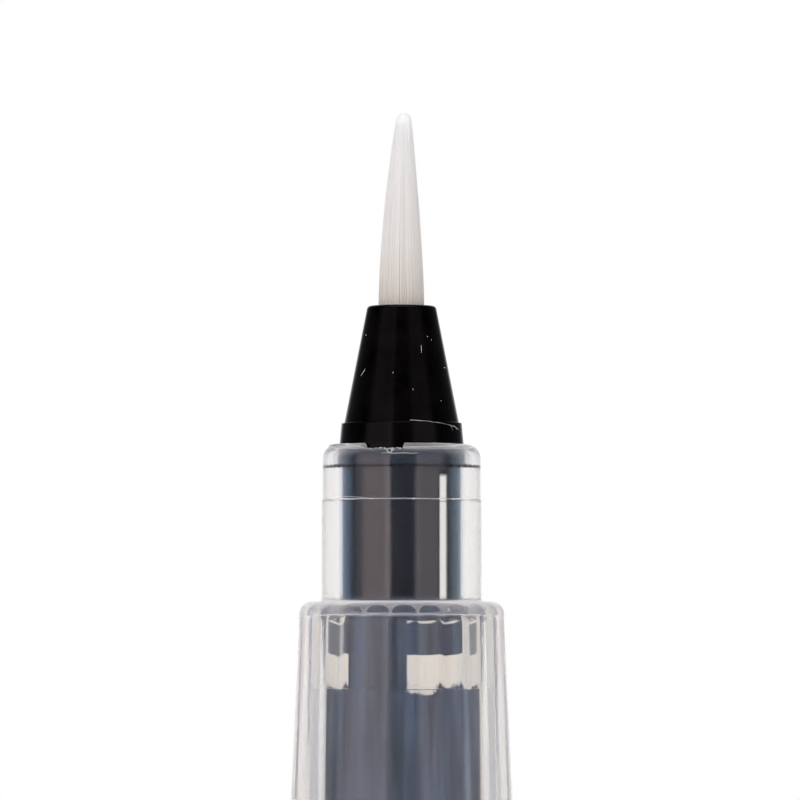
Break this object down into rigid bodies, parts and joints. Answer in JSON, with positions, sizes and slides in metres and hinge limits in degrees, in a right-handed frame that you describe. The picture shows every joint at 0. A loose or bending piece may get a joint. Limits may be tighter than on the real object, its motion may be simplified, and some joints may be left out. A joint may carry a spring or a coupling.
{
  "type": "brush pen",
  "caption": "Refillable brush pen with a bristle tuft, a cone nose, a clear fluted screw-on head with a dark wick and core inside, a squeezable clear barrel and a cap posted on its tail.",
  "frame": {"origin": "centre of the cap's flat closed end, on which the pen stands", "axes": "+Z along the pen from the posted cap to the tip of the bristles; +Y towards the side of the cap with the clip; +X to the right as seen from the side away from the clip"},
  "size_m": [0.0144, 0.0155, 0.157],
  "materials": {
    "bristle": "satin nylon filament",
    "black_gloss": "glossy",
    "black_core": "semi-gloss",
    "white_fibre": "bonded fibre",
    "dark_fibre": "inked bonded fibre",
    "clear_sleeve": "translucent",
    "white_plastic": "satin",
    "milky_head": "milky translucent",
    "black_rubber": "matt",
    "milky_barrel": "milky translucent",
    "milky_tail": "milky translucent",
    "clear_cap": "clear"
  },
  "bodies": {
    "cap": {"cap_shell": "clear_cap", "cap_liner": "white_plastic", "cap_clip": "clear_cap"},
    "barrel": {"reservoir_barrel": "milky_barrel", "tail_plug": "milky_tail", "tail_seal_ring": "black_rubber"},
    "seal": {"seal_gasket": "black_rubber"},
    "head": {"front_section": "milky_head", "nose_cone": "black_gloss", "feed_core": "black_core", "stop_ring": "black_core", "relay_wick": "white_fibre", "wick_sponge": "dark_fibre", "sponge_sleeve": "clear_sleeve", "metering_disc": "white_plastic"},
    "tuft": {"bristle_tuft": "bristle"}
  },
  "joints": [
    {"name": "cap_pull", "type": "slide", "parent": "cap", "child": "barrel", "axis": [0, 0, 1], "range_m": [0, 0.014]},
    {"name": "head_advance", "type": "slide", "parent": "barrel", "child": "seal", "axis": [0, 0, 1], "range_m": [0, 0.006]},
    {"name": "head_turn", "type": "hinge", "parent": "seal", "child": "head", "pos_m": [0, 0, 0.11], "axis": [0, 0, 1], "range_deg": [0, 864]},
    {"name": "tuft_flex", "type": "hinge", "parent": "head", "child": "tuft", "pos_m": [0, 0, 0.1453], "axis": [0, 1, 0], "range_deg": [-28, 28], "stiffness_Nm_per_rad": 0.0003, "deforming": ["bristle_tuft"]}
  ],
  "couplings": [
    {"joint": "head_turn", "follows": "head_advance", "rad_per_m": 2513.3}
  ]
}
